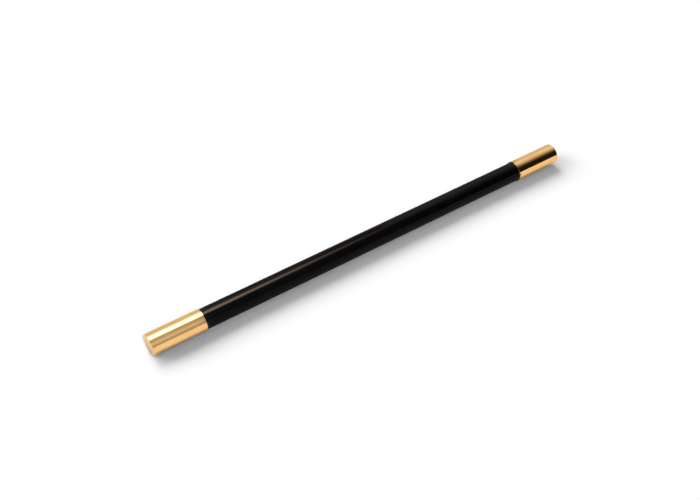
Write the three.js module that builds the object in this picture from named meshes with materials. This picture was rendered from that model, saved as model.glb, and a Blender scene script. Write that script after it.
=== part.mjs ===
// A magician's wand: a straight gloss black tube with a polished gold tip screwed on each end.
// Millimetres, +Z up. The wand lies along X, with its middle over the origin, on the plane Z = 0.
import * as THREE from "three";

// Shaft
const WAND_LENGTH = 300;
const SHAFT_DIAMETER = 12.7;
const SHAFT_WALL = 1.5;
const SHAFT_CHAMFER = 0.3;

// Cap, a drawn cup whose skirt slips over the end of the shaft
const CAP_LENGTH = 33.6;
const CAP_WALL = 0.4;
const CAP_END_WALL = 0.6;
const CAP_CORNER_RADIUS = 0.5;
const SKIRT_OVERLAP = 6.5;

// Core, a turned slug that fills the closed end of the cap
const CORE_CHAMFER = 0.6;

// Washer between the core and the plug
const WASHER_THICKNESS = 1;
const WASHER_CHAMFER = 0.15;

// Plug, a turned stopper whose flange covers the end of the shaft
const FLANGE_THICKNESS = 1.6;
const FLANGE_CHAMFER = 0.25;
const SHANK_LENGTH = 18;
const SHANK_CHAMFER = 0.8;

// Stud, fixed in the plug and screwed into the core
const STUD_DIAMETER = 6;
const STUD_CHAMFER = 0.7;
const STUD_IN_CORE = 12.5;
const STUD_IN_PLUG = 13;

// Tapped holes and glue grooves
const COUNTERSINK = 0.5;
const TAP_RUNOUT = 2;
const DRILL_POINT_ANGLE = THREE.MathUtils.degToRad(118);
const GROOVE_COUNT = 3;
const GROOVE_WIDTH = 1.2;
const GROOVE_DEPTH = 0.4;

// Clearances
const SLIP_FIT = 0.1;
const GLUE_LINE = 0.1;
const THREAD_FIT = 0.1;
const WASHER_FIT = 0.25;
const SEAT_GAP = 0.1;

// Facets round the axis and along each rounded edge
const OUTER_SIDES = 48;
const INNER_SIDES = 24;
const ARC_STEPS = 6;

// Radii
const shaftRadius = SHAFT_DIAMETER / 2;
const shaftBore = shaftRadius - SHAFT_WALL;
const capBore = shaftRadius + SLIP_FIT;
const capRadius = capBore + CAP_WALL;
const coreRadius = capBore - GLUE_LINE;
const shankRadius = shaftBore - GLUE_LINE;
const studRadius = STUD_DIAMETER / 2;
const tapRadius = studRadius + THREAD_FIT;
const washerBore = studRadius + WASHER_FIT;
const washerRadius = capBore - WASHER_FIT;

// Stations along one half of the wand, measured outward from its middle
const capEnd = WAND_LENGTH / 2;
const capRim = capEnd - CAP_LENGTH;
const shaftEnd = capRim + SKIRT_OVERLAP;
const flangeSeat = shaftEnd + SEAT_GAP;
const flangeFace = flangeSeat + FLANGE_THICKNESS;
const shankEnd = flangeSeat - SHANK_LENGTH;
const washerSeat = flangeFace + SEAT_GAP;
const washerFace = washerSeat + WASHER_THICKNESS;
const coreMouth = washerFace + SEAT_GAP;
const coreEnd = capEnd - CAP_END_WALL - GLUE_LINE;
const studInnerEnd = flangeFace - STUD_IN_PLUG;
const studOuterEnd = coreMouth + STUD_IN_CORE;

// The depth of the cone that a drill leaves at the bottom of a tapped hole
const drillPoint = tapRadius / Math.tan(DRILL_POINT_ANGLE / 2);

const gold = { color: 0xe0b261, roughness: 0.12, metalness: 1 };
const blackGloss = { color: 0x0d0c0b, roughness: 0.15, metalness: 0 };
const turnedAluminium = { color: 0xc4c6c8, roughness: 0.35, metalness: 1 };
const zincSteel = { color: 0xaeb0b2, roughness: 0.4, metalness: 1 };
const redFibre = { color: 0x6e2a22, roughness: 0.8, metalness: 0 };

// Turns a profile of [radius, station] points about the axis, with a flat facet at the bottom
function turned(name, profile, sides, finish) {
  const points = profile.map(([radius, station]) => new THREE.Vector2(radius, station));
  const geometry = new THREE.LatheGeometry(points, sides, Math.PI / sides, 2 * Math.PI);
  const mesh = new THREE.Mesh(geometry, new THREE.MeshStandardMaterial(finish));
  mesh.name = name;
  return mesh;
}

// A quarter circle or other arc of a profile, from one angle to another
function arc(centreRadius, centreStation, radius, from, to) {
  return Array.from({ length: ARC_STEPS + 1 }, (_, step) => {
    const angle = from + ((to - from) * step) / ARC_STEPS;
    return [centreRadius + radius * Math.cos(angle), centreStation + radius * Math.sin(angle)];
  });
}

// Evenly spaced square grooves down a straight outer wall, from its lower to its upper end
function glueGrooves(radius, lower, upper) {
  const pitch = (upper - lower) / (GROOVE_COUNT + 1);
  return Array.from({ length: GROOVE_COUNT }, (_, groove) => {
    const middle = lower + pitch * (groove + 1);
    const [start, end] = [middle - GROOVE_WIDTH / 2, middle + GROOVE_WIDTH / 2];
    const floor = radius - GROOVE_DEPTH;
    return [[radius, start], [floor, start], [floor, end], [radius, end]];
  }).flat();
}

function shaftTube() {
  const [outer, inner, edge] = [shaftRadius, shaftBore, SHAFT_CHAMFER];
  const farHalf = [
    [outer, shaftEnd - edge],
    [outer - edge, shaftEnd],
    [inner + edge, shaftEnd],
    [inner, shaftEnd - edge],
  ];
  const nearHalf = farHalf.map(([radius, station]) => [radius, -station]).reverse();
  const profile = [...farHalf, ...nearHalf, farHalf[0]];
  return turned("shaft_tube", profile, OUTER_SIDES, blackGloss);
}

function cap(name) {
  const rimRadius = CAP_WALL / 2;
  const innerCorner = Math.max(CAP_CORNER_RADIUS - CAP_WALL, CAP_WALL / 2);
  const innerFace = capEnd - CAP_END_WALL;
  const profile = [
    [0, innerFace],
    ...arc(capBore - innerCorner, innerFace - innerCorner, innerCorner, Math.PI / 2, 0),
    ...arc(capBore + rimRadius, capRim + rimRadius, rimRadius, -Math.PI, 0),
    ...arc(capRadius - CAP_CORNER_RADIUS, capEnd - CAP_CORNER_RADIUS, CAP_CORNER_RADIUS, 0, Math.PI / 2),
    [0, capEnd],
  ];
  return turned(name, profile, OUTER_SIDES, gold);
}

function core(name) {
  const holeBottom = studOuterEnd + TAP_RUNOUT;
  const profile = [
    [0, holeBottom + drillPoint],
    [tapRadius, holeBottom],
    [tapRadius, coreMouth + COUNTERSINK],
    [tapRadius + COUNTERSINK, coreMouth],
    [coreRadius - CORE_CHAMFER, coreMouth],
    [coreRadius, coreMouth + CORE_CHAMFER],
    ...glueGrooves(coreRadius, coreMouth, coreEnd),
    [coreRadius, coreEnd - CAP_CORNER_RADIUS],
    [coreRadius - CAP_CORNER_RADIUS, coreEnd],
    [0, coreEnd],
  ];
  return turned(name, profile, INNER_SIDES, turnedAluminium);
}

function washer(name) {
  const edge = WASHER_CHAMFER;
  const profile = [
    [washerBore + edge, washerSeat],
    [washerRadius - edge, washerSeat],
    [washerRadius, washerSeat + edge],
    [washerRadius, washerFace - edge],
    [washerRadius - edge, washerFace],
    [washerBore + edge, washerFace],
    [washerBore, washerFace - edge],
    [washerBore, washerSeat + edge],
    [washerBore + edge, washerSeat],
  ];
  return turned(name, profile, INNER_SIDES, redFibre);
}

function stud(name) {
  const profile = [
    [0, studInnerEnd],
    [studRadius - STUD_CHAMFER, studInnerEnd],
    [studRadius, studInnerEnd + STUD_CHAMFER],
    [studRadius, studOuterEnd - STUD_CHAMFER],
    [studRadius - STUD_CHAMFER, studOuterEnd],
    [0, studOuterEnd],
  ];
  return turned(name, profile, INNER_SIDES, zincSteel);
}

function plug(name) {
  const holeBottom = studInnerEnd - SEAT_GAP;
  const profile = [
    [0, shankEnd],
    [shankRadius - SHANK_CHAMFER, shankEnd],
    [shankRadius, shankEnd + SHANK_CHAMFER],
    ...glueGrooves(shankRadius, shankEnd, flangeSeat),
    [shankRadius, flangeSeat],
    [shaftRadius - FLANGE_CHAMFER, flangeSeat],
    [shaftRadius, flangeSeat + FLANGE_CHAMFER],
    [shaftRadius, flangeFace - FLANGE_CHAMFER],
    [shaftRadius - FLANGE_CHAMFER, flangeFace],
    [tapRadius + COUNTERSINK, flangeFace],
    [tapRadius, flangeFace - COUNTERSINK],
    [tapRadius, holeBottom],
    [0, holeBottom - drillPoint],
  ];
  return turned(name, profile, INNER_SIDES, turnedAluminium);
}

// One end of the wand: the plug and stud that stay in the shaft, then the washer and the tip
function wandEnd(side) {
  const end = new THREE.Group();
  for (const makePiece of [plug, stud, washer, core, cap]) {
    end.add(makePiece(`${side}_${makePiece.name}`));
  }
  return end;
}

// Profiles are turned about Y, so each half is laid down along X
const nearEnd = wandEnd("near");
nearEnd.rotation.z = Math.PI / 2;
const farEnd = wandEnd("far");
farEnd.rotation.z = -Math.PI / 2;
const shaft = shaftTube();
shaft.rotation.z = -Math.PI / 2;

// The lowest facet of the caps lies on Z = 0
const wand = new THREE.Group();
wand.add(shaft, nearEnd, farEnd);
wand.position.z = capRadius * Math.cos(Math.PI / OUTER_SIDES);

export default wand;
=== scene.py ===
import math

import bmesh
import bpy
from mathutils import Matrix, Vector


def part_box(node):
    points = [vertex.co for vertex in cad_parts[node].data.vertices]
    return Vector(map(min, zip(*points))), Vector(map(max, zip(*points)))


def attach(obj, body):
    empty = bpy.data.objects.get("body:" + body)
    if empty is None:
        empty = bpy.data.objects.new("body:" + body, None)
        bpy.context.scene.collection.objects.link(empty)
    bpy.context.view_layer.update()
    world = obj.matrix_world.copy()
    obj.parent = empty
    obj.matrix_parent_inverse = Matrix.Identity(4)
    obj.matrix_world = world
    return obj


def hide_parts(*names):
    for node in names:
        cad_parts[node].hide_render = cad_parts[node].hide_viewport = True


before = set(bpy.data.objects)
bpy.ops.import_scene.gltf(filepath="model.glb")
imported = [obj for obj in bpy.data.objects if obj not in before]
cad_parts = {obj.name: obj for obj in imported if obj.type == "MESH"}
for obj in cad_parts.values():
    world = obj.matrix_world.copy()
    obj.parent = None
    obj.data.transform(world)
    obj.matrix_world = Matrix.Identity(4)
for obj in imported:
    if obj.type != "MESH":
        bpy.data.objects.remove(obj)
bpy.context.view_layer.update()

MM = 0.001

# Walls, corners and threads that the frame's boxes don't give, in metres
CAP_WALL = 0.4 * MM
CAP_END_WALL = 0.6 * MM
CAP_CORNER = 0.5 * MM
CAP_INNER_CORNER = 0.2 * MM
CAP_RIM_ROUND = 0.05 * MM
SHAFT_WALL = 1.5 * MM
SHAFT_END_ROUND = 0.3 * MM
TAP_RADIUS = 3.1 * MM
TAP_RUNOUT = 2 * MM
DRILL_POINT = 1.86 * MM
COUNTERSINK = 0.5 * MM
GROOVE_COUNT = 3
GROOVE_WIDTH = 1.2 * MM
GROOVE_DEPTH = 0.4 * MM
GROOVE_ROUND = 0.1 * MM
CORE_CHAMFER = 0.6 * MM
FLANGE_THICKNESS = 1.6 * MM
FLANGE_ROUND = 0.25 * MM
SHANK_CLEARANCE = 0.1 * MM
SHANK_CHAMFER = 0.8 * MM
WASHER_BORE = 3.25 * MM
WASHER_ROUND = 0.15 * MM
STUD_CHAMFER = 0.7 * MM
THREAD_PITCH = 1 * MM
THREAD_DEPTH = 0.61 * MM
THREAD_FLAT = 0.12

# Fineness of the turned meshes
RING_STEPS = 128
STUD_STEPS = 48
ROWS_PER_PITCH = 10
ROUND_SEGMENTS = 5
SHARP_ANGLE = math.radians(35)
LEAST_STRAIGHT = 0.3 * MM
STRAIGHT_END = 0.03 * MM
SAME_PLACE = 0.001 * MM

# Waves of the die's lines on the shaft, per metre along it and per radian round it
DIE_LINES = (8, 28, 0)

# Camera, fitted to the edges of the shaft and tips in a 700 by 500 picture
PICTURE_WIDTH = 700
FOCAL_PIXELS = 1000
SENSOR_WIDTH = 36
CAMERA_YAW = math.radians(34.72)
CAMERA_PITCH = math.radians(43.5)
CAMERA_TO_WAND = Vector((12.12, 6.2, 612.9)) * MM
CLIP_START = 0.01


def wand_axis():
    """The height of the wand's axis over the surface that it lies on."""
    low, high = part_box("shaft_tube")
    return (low.z + high.z) / 2


AXIS = Vector((0, 0, wand_axis()))


def span(node):
    """A far node's inner and outer station along the wand, and its radius."""
    low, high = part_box(node)
    return low.x, high.x, (high.z - low.z) / 2


def linear(colour):
    """An sRGB hex colour as linear RGBA."""
    channels = [int(colour[i:i + 2], 16) / 255 for i in (0, 2, 4)]
    return [c / 12.92 if c <= 0.04045 else ((c + 0.055) / 1.055) ** 2.4 for c in channels] + [1]


def add(tree, kind, inputs=None, **settings):
    """Adds a node with its settings. An input is a value, or a socket to link from."""
    node = tree.nodes.new(kind)
    for name, value in settings.items():
        setattr(node, name, value)
    for name, value in (inputs or {}).items():
        if isinstance(value, bpy.types.NodeSocket):
            tree.links.new(value, node.inputs[name])
        else:
            node.inputs[name].default_value = value
    return node


def new_material(name):
    material = bpy.data.materials.new(name)
    material.use_nodes = True
    material.node_tree.nodes.clear()
    return material, material.node_tree


def per_metre(size_mm):
    """A texture scale that repeats once in a size given in millimetres."""
    return 1 / (size_mm * MM)


def round_the_axis(tree):
    """Object coordinates as distance along the wand, angle round it and distance from it."""
    place = add(tree, "ShaderNodeTexCoord").outputs["Object"]
    centred = add(tree, "ShaderNodeVectorMath", {0: place, 1: AXIS}, operation="SUBTRACT").outputs[0]
    parts = add(tree, "ShaderNodeSeparateXYZ", {0: centred}).outputs
    angle = add(tree, "ShaderNodeMath", {0: parts["Z"], 1: parts["Y"]}, operation="ARCTAN2").outputs[0]
    across = add(tree, "ShaderNodeCombineXYZ", {"Y": parts["Y"], "Z": parts["Z"]}).outputs[0]
    distance = add(tree, "ShaderNodeVectorMath", {0: across}, operation="LENGTH").outputs["Value"]
    return place, parts["X"], angle, distance


def lacquered_brass():
    # Drawn brass, buffed to a mirror and lacquered: a warm mirror with faint buffing rings,
    # a slow waviness from drawing, and patches where handling has dulled the lacquer a little.
    material, tree = new_material("lacquered_brass")
    place, along, _, _ = round_the_axis(tree)
    tone = add(tree, "ShaderNodeTexNoise", {"Vector": place, "Scale": per_metre(14), "Detail": 3})
    colour = add(tree, "ShaderNodeValToRGB", {0: tone.outputs["Fac"]})
    colour.color_ramp.elements[0].position = 0.35
    colour.color_ramp.elements[0].color = linear("f2b96c")
    colour.color_ramp.elements[1].position = 0.7
    colour.color_ramp.elements[1].color = linear("f8c67e")
    smudge = add(tree, "ShaderNodeTexNoise", {"Vector": place, "Scale": per_metre(5), "Detail": 5})
    roughness = add(tree, "ShaderNodeMapRange", {0: smudge.outputs["Fac"], 1: 0.3, 2: 0.75, 3: 0.05, 4: 0.1})
    rings = add(tree, "ShaderNodeTexNoise", {"W": along, "Scale": per_metre(0.25), "Detail": 2},
                noise_dimensions="1D")
    fine = add(tree, "ShaderNodeBump", {"Height": rings.outputs["Fac"], "Distance": 0.0004 * MM})
    wave = add(tree, "ShaderNodeTexNoise", {"Vector": place, "Scale": per_metre(9), "Detail": 1})
    bump = add(tree, "ShaderNodeBump", {"Height": wave.outputs["Fac"], "Distance": 0.012 * MM,
                                        "Normal": fine.outputs[0]})
    shader = add(tree, "ShaderNodeBsdfPrincipled", {
        "Base Color": colour.outputs[0], "Metallic": 1, "Roughness": roughness.outputs[0],
        "Normal": bump.outputs[0], "Specular Tint": linear("f0d8b0"),
        "Coat Weight": 0.9, "Coat Roughness": 0.05})
    add(tree, "ShaderNodeOutputMaterial", {"Surface": shader.outputs[0]})
    return material


def gloss_black_plastic():
    # Extruded black plastic, polished: nearly black under a soft gloss, with faint lines along
    # the tube from the die, a slight ripple, and fine handling marks that break the gloss.
    material, tree = new_material("gloss_black_plastic")
    place, along, angle, _ = round_the_axis(tree)
    tone = add(tree, "ShaderNodeTexNoise", {"Vector": place, "Scale": per_metre(20), "Detail": 4})
    colour = add(tree, "ShaderNodeValToRGB", {0: tone.outputs["Fac"]})
    colour.color_ramp.elements[0].position = 0.3
    colour.color_ramp.elements[0].color = linear("070606")
    colour.color_ramp.elements[1].position = 0.75
    colour.color_ramp.elements[1].color = linear("0f0d0c")
    rub = add(tree, "ShaderNodeTexNoise", {"Vector": place, "Scale": per_metre(7), "Detail": 6})
    roughness = add(tree, "ShaderNodeMapRange", {0: rub.outputs["Fac"], 1: 0.3, 2: 0.75, 3: 0.05, 4: 0.09})
    # The lines are 2 degrees apart, coarser than on a real tube, so that they show close to
    stretched = add(tree, "ShaderNodeCombineXYZ", {"X": along, "Y": angle})
    squeezed = add(tree, "ShaderNodeVectorMath", {0: stretched.outputs[0], 1: DIE_LINES},
                   operation="MULTIPLY")
    lines = add(tree, "ShaderNodeTexNoise", {"Vector": squeezed.outputs[0], "Scale": 1, "Detail": 2})
    fine = add(tree, "ShaderNodeBump", {"Height": lines.outputs["Fac"], "Distance": 0.003 * MM})
    ripple = add(tree, "ShaderNodeTexNoise", {"Vector": place, "Scale": per_metre(4), "Detail": 1})
    bump = add(tree, "ShaderNodeBump", {"Height": ripple.outputs["Fac"], "Distance": 0.003 * MM,
                                        "Normal": fine.outputs[0]})
    shader = add(tree, "ShaderNodeBsdfPrincipled", {
        "Base Color": colour.outputs[0], "Roughness": roughness.outputs[0], "Normal": bump.outputs[0],
        "IOR": 1.49, "Specular IOR Level": 0.15})
    add(tree, "ShaderNodeOutputMaterial", {"Surface": shader.outputs[0]})
    return material


def turned_aluminium():
    # Bar aluminium turned on a lathe and left bare: pale grey, with the fine tool marks going round.
    material, tree = new_material("turned_aluminium")
    place, along, _, distance = round_the_axis(tree)
    feed = add(tree, "ShaderNodeMath", {0: along, 1: distance}, operation="ADD")
    marks = add(tree, "ShaderNodeTexNoise", {"W": feed.outputs[0], "Scale": per_metre(0.2), "Detail": 3},
                noise_dimensions="1D")
    tone = add(tree, "ShaderNodeTexNoise", {"Vector": place, "Scale": per_metre(6), "Detail": 3})
    colour = add(tree, "ShaderNodeValToRGB", {0: tone.outputs["Fac"]})
    colour.color_ramp.elements[0].color = linear("b4b7ba")
    colour.color_ramp.elements[1].color = linear("d2d4d6")
    roughness = add(tree, "ShaderNodeMapRange", {0: marks.outputs["Fac"], 3: 0.22, 4: 0.42})
    bump = add(tree, "ShaderNodeBump", {"Height": marks.outputs["Fac"], "Distance": 0.004 * MM})
    shader = add(tree, "ShaderNodeBsdfPrincipled", {
        "Base Color": colour.outputs[0], "Metallic": 1, "Roughness": roughness.outputs[0],
        "Normal": bump.outputs[0]})
    add(tree, "ShaderNodeOutputMaterial", {"Surface": shader.outputs[0]})
    return material


def zinc_plated_steel():
    # Rolled steel thread with a clear zinc plating: cool grey, clouded from blue to straw.
    material, tree = new_material("zinc_plated_steel")
    place = add(tree, "ShaderNodeTexCoord").outputs["Object"]
    cloud = add(tree, "ShaderNodeTexNoise", {"Vector": place, "Scale": per_metre(4), "Detail": 4})
    colour = add(tree, "ShaderNodeValToRGB", {0: cloud.outputs["Fac"]})
    colour.color_ramp.elements[0].position = 0.3
    colour.color_ramp.elements[0].color = linear("9fa9b4")
    colour.color_ramp.elements[1].position = 0.7
    colour.color_ramp.elements[1].color = linear("c0bba8")
    grain = add(tree, "ShaderNodeTexNoise", {"Vector": place, "Scale": per_metre(0.3), "Detail": 3})
    roughness = add(tree, "ShaderNodeMapRange", {0: grain.outputs["Fac"], 3: 0.25, 4: 0.45})
    shader = add(tree, "ShaderNodeBsdfPrincipled", {
        "Base Color": colour.outputs[0], "Metallic": 1, "Roughness": roughness.outputs[0]})
    add(tree, "ShaderNodeOutputMaterial", {"Surface": shader.outputs[0]})
    return material


def red_fibre():
    # Vulcanised fibre sheet, punched: a dull brick red with paler paper fibres in it.
    material, tree = new_material("red_fibre")
    place = add(tree, "ShaderNodeTexCoord").outputs["Object"]
    fibres = add(tree, "ShaderNodeTexNoise", {"Vector": place, "Scale": per_metre(0.8), "Detail": 6,
                                              "Distortion": 1.5})
    colour = add(tree, "ShaderNodeValToRGB", {0: fibres.outputs["Fac"]})
    colour.color_ramp.elements[0].position = 0.35
    colour.color_ramp.elements[0].color = linear("5c211b")
    colour.color_ramp.elements[1].position = 0.72
    colour.color_ramp.elements[1].color = linear("8a3d30")
    roughness = add(tree, "ShaderNodeMapRange", {0: fibres.outputs["Fac"], 3: 0.6, 4: 0.85})
    bump = add(tree, "ShaderNodeBump", {"Height": fibres.outputs["Fac"], "Distance": 0.02 * MM})
    shader = add(tree, "ShaderNodeBsdfPrincipled", {
        "Base Color": colour.outputs[0], "Roughness": roughness.outputs[0], "Normal": bump.outputs[0],
        "IOR": 1.5})
    add(tree, "ShaderNodeOutputMaterial", {"Surface": shader.outputs[0]})
    return material


def turned(name, outline, side=1, closed=False, steps=RING_STEPS, rows=0):
    """Spins an outline about the wand's axis. Its points are (station, radius, corner radius)."""
    mesh = bmesh.new()
    points = [mesh.verts.new((side * station, 0, radius)) for station, radius, _ in outline]
    for start, end in zip(points, points[1:]):
        mesh.edges.new((start, end))
    if closed:
        mesh.edges.new((points[-1], points[0]))
    if rows:
        longest = max(mesh.edges, key=lambda edge: edge.calc_length())
        bmesh.ops.subdivide_edges(mesh, edges=[longest], cuts=rows)
    for point, (_, _, corner) in zip(points, outline):
        if corner:
            bmesh.ops.bevel(mesh, geom=[point], offset=corner, segments=ROUND_SEGMENTS, profile=0.5,
                            affect="VERTICES", material=-1)
    hold_straights(mesh)
    bmesh.ops.spin(mesh, geom=mesh.verts[:] + mesh.edges[:], cent=(0, 0, 0), axis=(1, 0, 0),
                   angle=2 * math.pi, steps=steps, use_merge=True)
    bmesh.ops.remove_doubles(mesh, verts=mesh.verts[:], dist=SAME_PLACE)
    bmesh.ops.recalc_face_normals(mesh, faces=mesh.faces[:])
    bmesh.ops.translate(mesh, verts=mesh.verts[:], vec=AXIS)
    return piece_from(mesh, name)


def hold_straights(outline):
    """Cuts each straight of an outline close to its two ends, so that no shading leans along it."""
    for edge in outline.edges[:]:
        length = edge.calc_length()
        if length > LEAST_STRAIGHT:
            _, cut = bmesh.utils.edge_split(edge, edge.verts[0], STRAIGHT_END / length)
            rest = max(cut.link_edges, key=lambda part: part.calc_length())
            bmesh.utils.edge_split(rest, cut, 1 - STRAIGHT_END / rest.calc_length())


def piece_from(mesh, name):
    data = bpy.data.meshes.new(name)
    mesh.to_mesh(data)
    mesh.free()
    for face in data.polygons:
        face.use_smooth = True
    data.set_sharp_from_angle(angle=SHARP_ANGLE)
    piece = bpy.data.objects.new(name, data)
    bpy.context.collection.objects.link(piece)
    return piece


def glue_grooves(radius, lower, upper):
    """Evenly spaced square grooves along a straight outer wall."""
    pitch = (upper - lower) / (GROOVE_COUNT + 1)
    floor = radius - GROOVE_DEPTH
    points = []
    for groove in range(1, GROOVE_COUNT + 1):
        start = lower + pitch * groove - GROOVE_WIDTH / 2
        end = start + GROOVE_WIDTH
        points += [(start, radius, GROOVE_ROUND), (start, floor, 0)]
        points += [(end, floor, 0), (end, radius, GROOVE_ROUND)]
    return points


def shaft_tube():
    _, end, radius = span("shaft_tube")
    bore = radius - SHAFT_WALL
    outline = [(station, r, SHAFT_END_ROUND)
               for station, r in ((-end, radius), (end, radius), (end, bore), (-end, bore))]
    return turned("black_shaft", outline, closed=True)


def cap(side, name):
    rim, end, radius = span("far_cap")
    bore = radius - CAP_WALL
    outline = [
        (end - CAP_END_WALL, 0, 0),
        (end - CAP_END_WALL, bore, CAP_INNER_CORNER),
        (rim, bore, CAP_RIM_ROUND),
        (rim, radius, CAP_RIM_ROUND),
        (end, radius, CAP_CORNER),
        (end, 0, 0),
    ]
    return turned(name, outline, side)


def core(side, name):
    mouth, end, radius = span("far_core")
    _, stud_end, _ = span("far_stud")
    hole = stud_end + TAP_RUNOUT
    outline = [
        (hole + DRILL_POINT, 0, 0),
        (hole, TAP_RADIUS, 0),
        (mouth + COUNTERSINK, TAP_RADIUS, 0),
        (mouth, TAP_RADIUS + COUNTERSINK, 0),
        (mouth, radius - CORE_CHAMFER, 0),
        (mouth + CORE_CHAMFER, radius, 0),
        *glue_grooves(radius, mouth, end),
        (end - CAP_CORNER, radius, 0),
        (end, radius - CAP_CORNER, 0),
        (end, 0, 0),
    ]
    return turned(name, outline, side)


def washer(side, name):
    seat, face, radius = span("far_washer")
    outline = [(station, r, WASHER_ROUND)
               for station, r in ((seat, WASHER_BORE), (seat, radius), (face, radius), (face, WASHER_BORE))]
    return turned(name, outline, side, closed=True)


def plug(side, name):
    shank_end, face, radius = span("far_plug")
    seat = face - FLANGE_THICKNESS
    shank = span("shaft_tube")[2] - SHAFT_WALL - SHANK_CLEARANCE
    hole = span("far_stud")[0]
    outline = [
        (shank_end, 0, 0),
        (shank_end, shank - SHANK_CHAMFER, 0),
        (shank_end + SHANK_CHAMFER, shank, 0),
        *glue_grooves(shank, shank_end, seat),
        (seat, shank, 0),
        (seat, radius, FLANGE_ROUND),
        (face, radius, FLANGE_ROUND),
        (face, TAP_RADIUS + COUNTERSINK, 0),
        (face - COUNTERSINK, TAP_RADIUS, 0),
        (hole, TAP_RADIUS, 0),
        (hole - DRILL_POINT, 0, 0),
    ]
    return turned(name, outline, side)


def stud(side, name):
    inner, outer, radius = span("far_stud")
    outline = [
        (inner, 0, 0),
        (inner, radius - STUD_CHAMFER, 0),
        (inner + STUD_CHAMFER, radius, 0),
        (outer - STUD_CHAMFER, radius, 0),
        (outer, radius - STUD_CHAMFER, 0),
        (outer, 0, 0),
    ]
    rows = round((outer - inner) / THREAD_PITCH * ROWS_PER_PITCH)
    piece = turned(name, outline, side, steps=STUD_STEPS, rows=rows)
    cut_thread(piece, radius)
    return piece


def cut_thread(piece, major):
    """Sinks a right-handed thread into a round bar, leaving narrow flats on its crests and roots."""
    for vertex in piece.data.vertices:
        out = vertex.co - AXIS
        distance = math.hypot(out.y, out.z)
        if distance < major - THREAD_DEPTH:
            continue
        turn = (out.x / THREAD_PITCH - math.atan2(out.z, out.y) / (2 * math.pi)) % 1
        slope = (abs(2 * turn - 1) - THREAD_FLAT) / (1 - 2 * THREAD_FLAT)
        wanted = major - THREAD_DEPTH * min(max(slope, 0), 1)
        if wanted < distance:
            vertex.co.y = AXIS.y + out.y * wanted / distance
            vertex.co.z = AXIS.z + out.z * wanted / distance


def fit(piece, node, body, material):
    """Puts a finished piece in place of its CAD node."""
    piece.data.materials.append(material)
    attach(piece, body)
    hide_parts(node)


def dress_wand():
    brass = lacquered_brass()
    aluminium = turned_aluminium()
    steel = zinc_plated_steel()
    fibre = red_fibre()
    fit(shaft_tube(), "shaft_tube", "shaft", gloss_black_plastic())
    for side, end in ((-1, "near"), (1, "far")):
        fit(plug(side, f"{end}_end_plug"), f"{end}_plug", "shaft", aluminium)
        fit(stud(side, f"{end}_threaded_stud"), f"{end}_stud", "shaft", steel)
        fit(washer(side, f"{end}_fibre_washer"), f"{end}_washer", f"{end}_washer", fibre)
        fit(core(side, f"{end}_tip_core"), f"{end}_core", f"{end}_tip", aluminium)
        fit(cap(side, f"{end}_brass_cap"), f"{end}_cap", f"{end}_tip", brass)


# Studio
FLOOR_SIZE = 20
FLOOR_COLOUR = "f8f8f8"
FLOOR_LIFT = 0.141

# Wide soft lamps that light the floor and matt pieces. Each has its strength, then its azimuth and
# elevation in degrees, where azimuth 0 is straight behind the wand and -90 is off its near end.
LAMP_SPREAD = math.radians(39)
LAMPS = {
    "back_lamp": (1.98, 0, 45),
    "back_left_lamp": (1.7, -52, 27),
    "left_lamp": (0.85, -88, 30),
    "front_lamp": (0.543, 180, 45),
}

# Curved cards round the wand that only its gloss sees. Each has its distance from the wand, its
# left and right ends along it in metres with its strengths there, and its colours at angles round
# the wand, from 0 level on the camera's side, by way of 90 overhead, to 180 level on the far side.
CARD_STEPS = 12
LAMP_COLOURS = [(82, "383838"), (90, "8a7a6e"), (98, "ffd4b8"), (112, "ffd4b8"), (120, "7c6e64"),
                (132, "4c4c4c"), (146, "424242")]
FLAG_COLOURS = [(6, "202020"), (54, "202020"), (71, "6a6a6a"), (81, "a5a5a5"), (92, "d2d2d2"),
                (110, "f2f2f2")]
CARDS = {
    "softbox": (0.56, (-0.35, 14.5), (0.05, 14.5), LAMP_COLOURS),
    "softbox_edge": (0.56, (0.05, 14.5), (0.2, 3.8), LAMP_COLOURS),
    "softbox_end": (0.56, (0.2, 3.8), (0.29, 0.75), LAMP_COLOURS),
    "grey_side_panel": (0.6, (-0.6, 1), (0.046, 1), [(6, "bcbcbc"), (23, "b6bcca"), (41, "e2eaff"),
                                                     (63, "bec4d2"), (89, "babcc2")]),
    "grey_flag": (0.6, (0.046, 1), (0.4, 0.1), [(5, "898989"), (70, "898989"), (93, "a0a0a0")]),
    "dark_flag": (0.6, (0.4, 0.6), (0.53, 0.5), FLAG_COLOURS),
    "dark_flag_top": (0.61, (0.29, 0.75), (0.53, 0.6), [(93, "e4e4e4"), (134, "f2f2f2")]),
    "black_flag": (0.6, (0.53, 1), (1.4, 1), FLAG_COLOURS),
    "dim_far_wall": (0.6, (-1, 1), (2, 1), [(130, "f2f8ff"), (156, "d8e6ff"), (180, "d2e2fc")]),
    "dark_far_wall": (0.58, (0.046, 1), (0.52, 1), [(134, "e0e0e0"), (154, "7c7c7c"), (180, "707070")]),
}

# Sheets on the floor that only gloss sees: a painted shadow of the wand, and a runner of painted shade under
# its shaft.
# Each has its height, its left and right ends along the wand with how far they lean to the right
# per metre away from it, where it fades out along the wand, and its shades by distance from the
# wand's middle line in millimetres.
NO_FADE = (1, 2)
RUNNERS = {
    # Painted shadow of the wand, darkest at its middle line and gone 15 mm out, as its gloss sees it
    "shadow_runner": (0.1 * MM, ((-0.165, 0), (0.165, 0)), (0.1445, 0.154),
                      [(0, "505050"), (6, "909090"), (9, "c0c0c0"), (15, "ffffff")]),
    # Painted shade under the shaft, darkest at its middle line, that darkens the shaft's lower side in gloss
    "painted_shade_runner": (0.15 * MM, ((-0.1155, 0.275), (0.1145, 0.68)), NO_FADE,
                    [(0, "303030"), (7, "707070"), (12, "a0a0a0"), (60, "a0a0a0"), (130, "808080"),
                     (450, "606060")]),
}


def stage_sheet(name, mesh, material):
    sheet = piece_from(mesh, name)
    sheet.data.materials.append(material)
    return sheet


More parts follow.
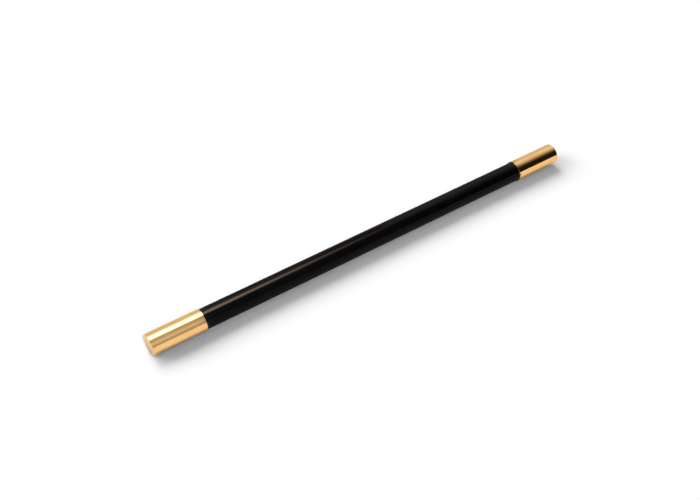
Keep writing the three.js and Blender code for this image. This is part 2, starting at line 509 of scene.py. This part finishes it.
def in_gloss(tree):
    """1 for a ray that leaves a glossy or clear piece, and 0 for any other."""
    path = add(tree, "ShaderNodeLightPath").outputs
    return add(tree, "ShaderNodeMath", {0: path["Is Glossy Ray"], 1: path["Is Transmission Ray"]},
               operation="MAXIMUM").outputs[0]


def seen_in_gloss(tree):
    """1 for such a ray on its way from the camera, and 0 for one that only spills light on the floor."""
    path = add(tree, "ShaderNodeLightPath").outputs
    direct = add(tree, "ShaderNodeMath", {0: path["Diffuse Depth"], 1: 0.5}, operation="LESS_THAN")
    both = add(tree, "ShaderNodeMath", {0: in_gloss(tree), 1: direct.outputs[0]}, operation="MULTIPLY")
    return both.outputs[0]


def floor():
    # White paper sweep: lifted a little for the camera, so that it shows white, and white in gloss
    material, tree = new_material("white_paper")
    camera_ray = add(tree, "ShaderNodeLightPath").outputs["Is Camera Ray"]
    lifted = add(tree, "ShaderNodeMath", {0: camera_ray, 1: FLOOR_LIFT}, operation="MULTIPLY")
    lift = add(tree, "ShaderNodeEmission", {"Strength": lifted.outputs[0]})
    paper = add(tree, "ShaderNodeBsdfDiffuse", {"Color": linear(FLOOR_COLOUR)})
    lit = add(tree, "ShaderNodeAddShader", {0: paper.outputs[0], 1: lift.outputs[0]})
    white = add(tree, "ShaderNodeEmission", {"Strength": seen_in_gloss(tree)})
    both = add(tree, "ShaderNodeMixShader", {0: in_gloss(tree), 1: lit.outputs[0], 2: white.outputs[0]})
    add(tree, "ShaderNodeOutputMaterial", {"Surface": both.outputs[0]})
    mesh = bmesh.new()
    bmesh.ops.create_grid(mesh, x_segments=1, y_segments=1, size=FLOOR_SIZE / 2)
    stage_sheet("floor", mesh, material)


def runner(name, height, ends, fade, stops):
    material, tree = new_material(name)
    width = stops[-1][0] * MM
    place = add(tree, "ShaderNodeTexCoord").outputs["Object"]
    parts = add(tree, "ShaderNodeSeparateXYZ", {0: place}).outputs
    away = add(tree, "ShaderNodeMath", {0: parts["Y"]}, operation="ABSOLUTE")
    share = add(tree, "ShaderNodeMapRange", {0: away.outputs[0], 2: width})
    along = add(tree, "ShaderNodeMath", {0: parts["X"]}, operation="ABSOLUTE")
    faded = add(tree, "ShaderNodeMapRange", {0: along.outputs[0], 1: fade[0], 2: fade[1]})
    strength = seen_in_gloss(tree)
    glow = add(tree, "ShaderNodeEmission", {"Color": shades(tree, share, stops), "Strength": strength})
    white = add(tree, "ShaderNodeEmission", {"Strength": strength})
    both = add(tree, "ShaderNodeMixShader", {0: faded.outputs[0], 1: glow.outputs[0], 2: white.outputs[0]})
    add(tree, "ShaderNodeOutputMaterial", {"Surface": both.outputs[0]})

    mesh = bmesh.new()
    rows = [[mesh.verts.new((end + lean * abs(y), y, height)) for end, lean in ends]
            for y in (-width, 0, width)]
    for (left, right), (next_left, next_right) in zip(rows, rows[1:]):
        mesh.faces.new((left, right, next_right, next_left))
    only_in_gloss(stage_sheet(name, mesh, material))


def shades(tree, share, stops):
    """A colour ramp through stops of (place, shade), driven by a node that goes from 0 to 1 along them."""
    first, last = stops[0][0], stops[-1][0]
    colour = add(tree, "ShaderNodeValToRGB", {0: share.outputs[0]})
    ramp = colour.color_ramp.elements
    for stop, (_, shade) in zip((ramp[0], ramp[1]), (stops[0], stops[-1])):
        stop.color = linear(shade)
    for place, shade in stops[1:-1]:
        ramp.new((place - first) / (last - first)).color = linear(shade)
    return colour.outputs[0]


def only_in_gloss(sheet):
    sheet.visible_camera = False
    sheet.visible_diffuse = False
    sheet.visible_shadow = False


def card(name, distance, left_end, right_end, stops):
    material, tree = new_material(name)
    low, high = stops[0][0], stops[-1][0]
    (left, left_strength), (right, right_strength) = left_end, right_end
    _, along, angle, _ = round_the_axis(tree)
    across = add(tree, "ShaderNodeMapRange", {0: angle, 1: math.radians(180 - low),
                                              2: math.radians(180 - high)})
    level = add(tree, "ShaderNodeMapRange", {0: along, 1: left, 2: right,
                                             3: left_strength, 4: right_strength})
    strength = add(tree, "ShaderNodeMath", {0: seen_in_gloss(tree), 1: level.outputs[0]},
                   operation="MULTIPLY")
    glow = add(tree, "ShaderNodeEmission", {"Color": shades(tree, across, stops),
                                            "Strength": strength.outputs[0]})
    add(tree, "ShaderNodeOutputMaterial", {"Surface": glow.outputs[0]})

    mesh = bmesh.new()
    tilt = math.radians(low)
    edge = AXIS + Vector((0, -math.cos(tilt), math.sin(tilt))) * distance
    mesh.edges.new([mesh.verts.new(edge + Vector((end, 0, 0))) for end in (left, right)])
    bmesh.ops.spin(mesh, geom=mesh.verts[:] + mesh.edges[:], cent=AXIS, axis=(1, 0, 0),
                   angle=math.radians(low - high), steps=CARD_STEPS)
    only_in_gloss(stage_sheet(name, mesh, material))


def surroundings():
    # White for the camera and in gloss, and dark for the floor, which the lamps light
    world = bpy.data.worlds.new("white_studio")
    world.use_nodes = True
    tree = world.node_tree
    tree.nodes.clear()
    camera_ray = add(tree, "ShaderNodeLightPath").outputs["Is Camera Ray"]
    seen = add(tree, "ShaderNodeMath", {0: seen_in_gloss(tree), 1: camera_ray}, operation="MAXIMUM")
    white = add(tree, "ShaderNodeBackground", {"Color": (1, 1, 1, 1), "Strength": seen.outputs[0]})
    add(tree, "ShaderNodeOutputWorld", {"Surface": white.outputs[0]})
    bpy.context.scene.world = world


def lamp(name, strength, azimuth, elevation):
    data = bpy.data.lights.new(name, "SUN")
    data.energy = strength
    data.angle = LAMP_SPREAD
    sun = bpy.data.objects.new(name, data)
    turn, rise = math.radians(azimuth), math.radians(elevation)
    level = math.cos(rise)
    toward = Vector((level * math.sin(turn), level * math.cos(turn), math.sin(rise)))
    sun.rotation_euler = toward.to_track_quat("Z", "Y").to_euler()
    sun.visible_glossy = False
    bpy.context.collection.objects.link(sun)


def camera():
    ahead = Vector((math.sin(CAMERA_YAW), math.cos(CAMERA_YAW), 0))
    right = Vector((math.cos(CAMERA_YAW), -math.sin(CAMERA_YAW), 0))
    look = ahead * math.cos(CAMERA_PITCH) - Vector((0, 0, math.sin(CAMERA_PITCH)))
    up = right.cross(look)
    place = AXIS - (right * CAMERA_TO_WAND.x + up * CAMERA_TO_WAND.y + look * CAMERA_TO_WAND.z)
    data = bpy.data.cameras.new("camera")
    data.sensor_width = SENSOR_WIDTH
    data.lens = SENSOR_WIDTH * FOCAL_PIXELS / PICTURE_WIDTH
    data.clip_start = CLIP_START
    viewer = bpy.data.objects.new("camera", data)
    turn = Matrix((right, up, -look)).transposed().to_4x4()
    viewer.matrix_world = Matrix.Translation(place) @ turn
    bpy.context.collection.objects.link(viewer)
    bpy.context.scene.camera = viewer


camera()
dress_wand()
floor()
for runner_name, facts in RUNNERS.items():
    runner(runner_name, *facts)
for card_name, facts in CARDS.items():
    card(card_name, *facts)
surroundings()
for lamp_name, facts in LAMPS.items():
    lamp(lamp_name, *facts)
bpy.context.scene.view_settings.view_transform = "Standard"
